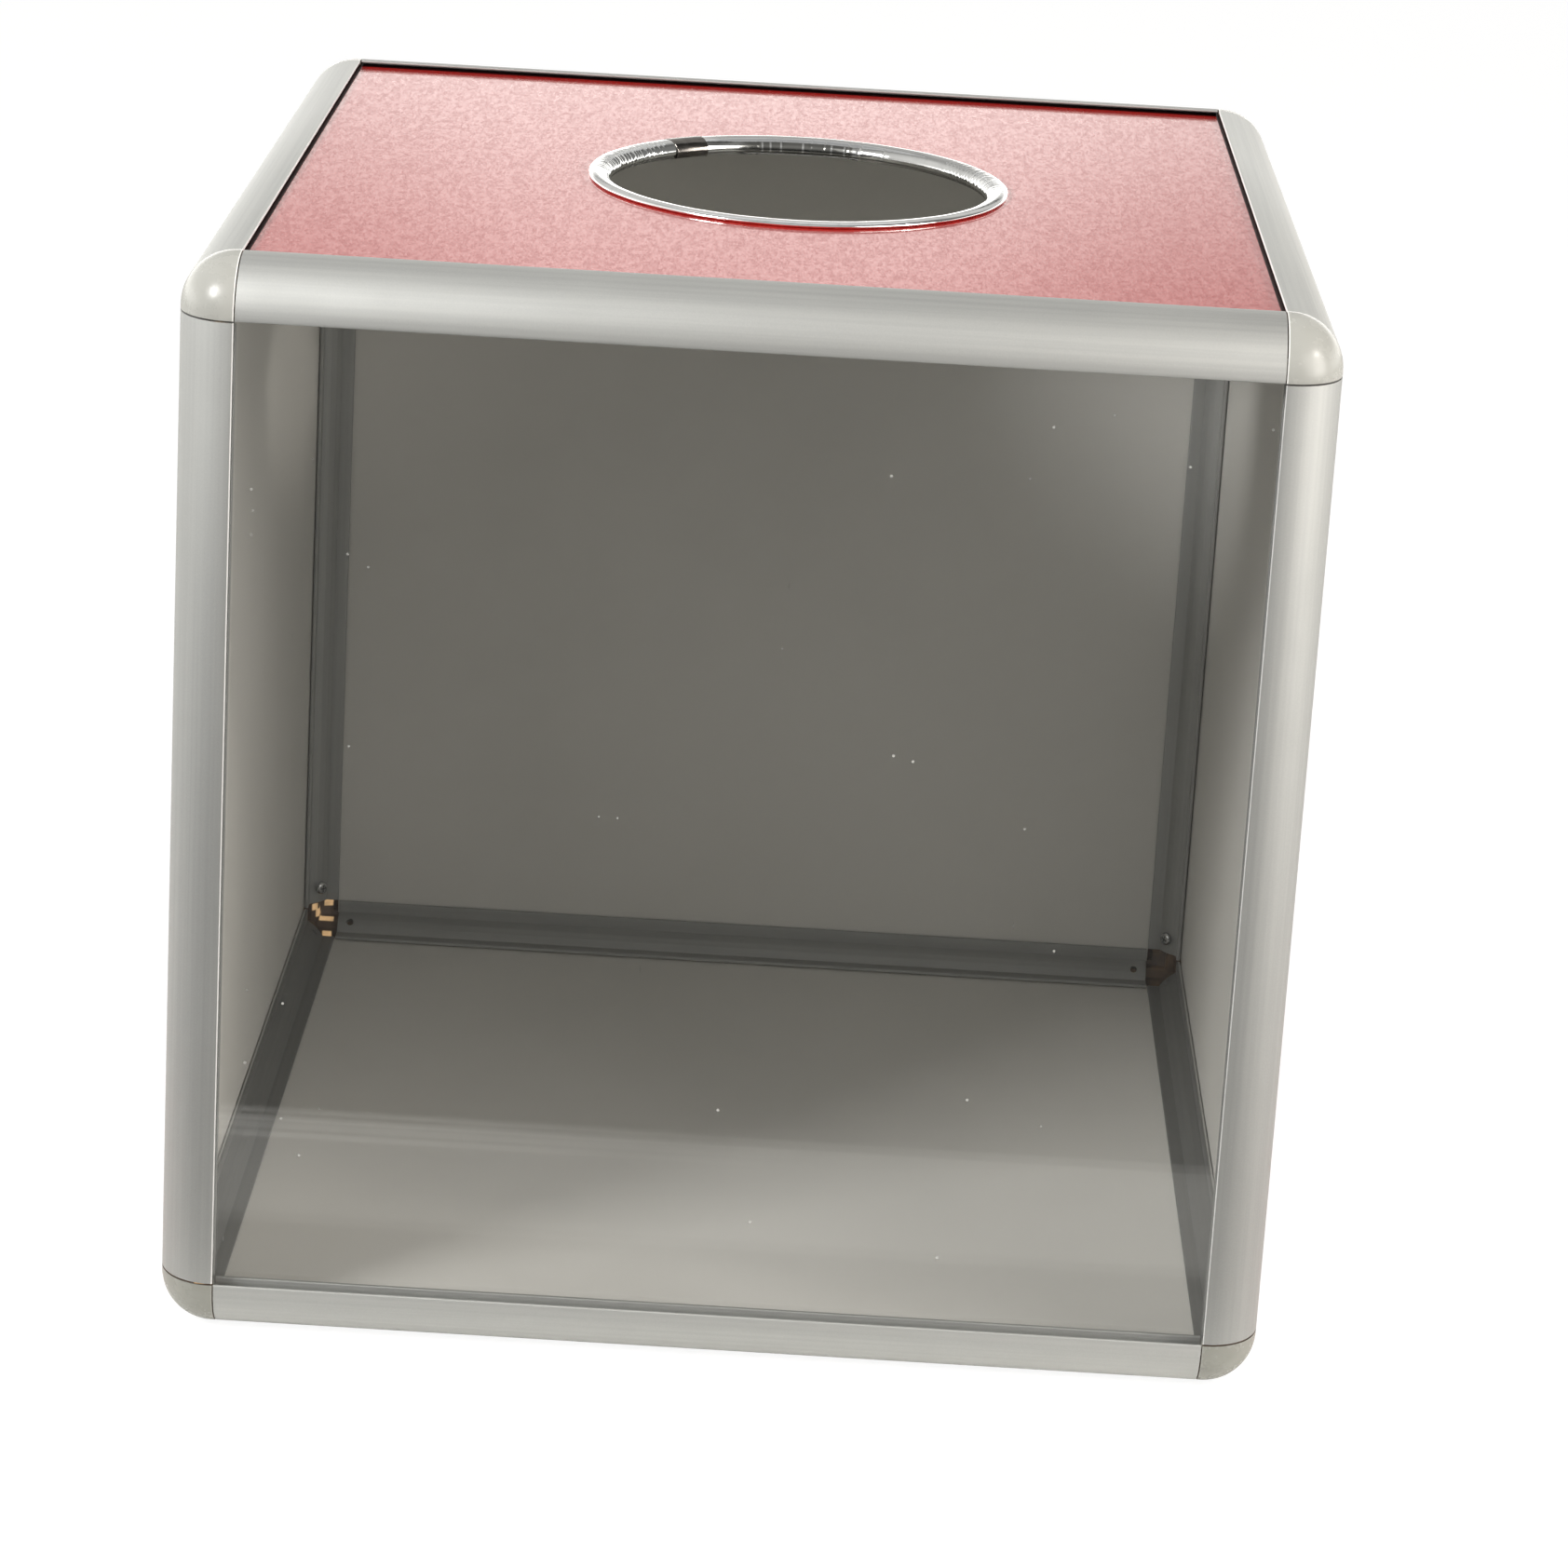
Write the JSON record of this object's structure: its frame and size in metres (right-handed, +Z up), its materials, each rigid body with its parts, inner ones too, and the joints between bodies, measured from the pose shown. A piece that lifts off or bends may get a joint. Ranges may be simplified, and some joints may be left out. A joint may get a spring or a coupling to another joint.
{
  "type": "raffle box",
  "caption": "Cube draw box with a clear front, red sheets in rounded aluminium edge rails, ball corners and an edged round hand hole in its top.",
  "frame": {"origin": "on the standing surface, below the middle of the box", "axes": "+X to the right of someone who looks at the clear front, +Y from the clear front to the rear sheet, +Z up"},
  "size_m": [0.28, 0.28, 0.28],
  "materials": {
    "anodised_aluminium": "satin silver anodised, fine extrusion lines along the rail",
    "corner_plastic": "semi-gloss warm grey moulded plastic",
    "screw_steel": "bright zinc",
    "red_sheet": "red satin coat outside, warm grey coat on the inner face",
    "clear_acrylic": "polished clear sheet",
    "bright_edging": "bright metal foil on a bent edging strip",
    "dark_steel": "dark bright steel"
  },
  "bodies": {
    "root": {"front_bottom_rail": "anodised_aluminium", "front_top_rail": "anodised_aluminium", "rear_bottom_rail": "anodised_aluminium", "rear_top_rail": "anodised_aluminium", "left_bottom_rail": "anodised_aluminium", "left_top_rail": "anodised_aluminium", "right_bottom_rail": "anodised_aluminium", "right_top_rail": "anodised_aluminium", "front_left_post": "anodised_aluminium", "front_right_post": "anodised_aluminium", "rear_left_post": "anodised_aluminium", "rear_right_post": "anodised_aluminium", "front_left_bottom_corner": "corner_plastic", "front_right_bottom_corner": "corner_plastic", "rear_left_bottom_corner": "corner_plastic", "rear_right_bottom_corner": "corner_plastic", "front_left_top_corner": "corner_plastic", "front_right_top_corner": "corner_plastic", "rear_left_top_corner": "corner_plastic", "rear_right_top_corner": "corner_plastic", "front_left_bottom_screw": "screw_steel", "front_right_bottom_screw": "screw_steel", "rear_left_bottom_screw": "screw_steel", "rear_right_bottom_screw": "screw_steel", "front_left_top_screw": "screw_steel", "front_right_top_screw": "screw_steel", "rear_left_top_screw": "screw_steel", "rear_right_top_screw": "screw_steel", "top_panel": "red_sheet", "floor_panel": "red_sheet", "rear_panel": "red_sheet", "left_panel": "red_sheet", "right_panel": "red_sheet", "front_panel": "clear_acrylic", "hole_edging": "bright_edging", "edging_sleeve": "dark_steel"}
  },
  "joints": []
}
